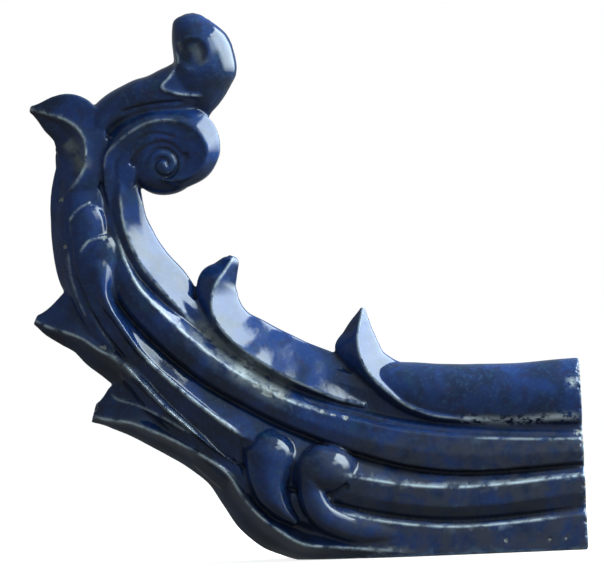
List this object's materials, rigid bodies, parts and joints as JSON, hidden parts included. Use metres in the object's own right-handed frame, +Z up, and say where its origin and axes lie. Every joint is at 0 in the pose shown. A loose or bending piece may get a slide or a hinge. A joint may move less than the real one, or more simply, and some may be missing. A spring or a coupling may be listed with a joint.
{
  "type": "roof ridge end ornament",
  "caption": "Glazed ceramic roof-ridge end: a moulded ridge sweeps up into a scroll and bud, with fins along its back, leaf barbs on its outer edge and curls low on its sides.",
  "frame": {"origin": "centre of the bounding box's base, on the flat bed", "axes": "+X along the ridge from the scroll towards the square cut end, +Z up from the bed, Y across the thickness; y = 0 is the mirror plane"},
  "size_m": [0.5428, 0.1366, 0.5498],
  "materials": {
    "glaze": "gloss"
  },
  "bodies": {
    "root": {"ridge_ornament": "glaze"}
  },
  "joints": []
}
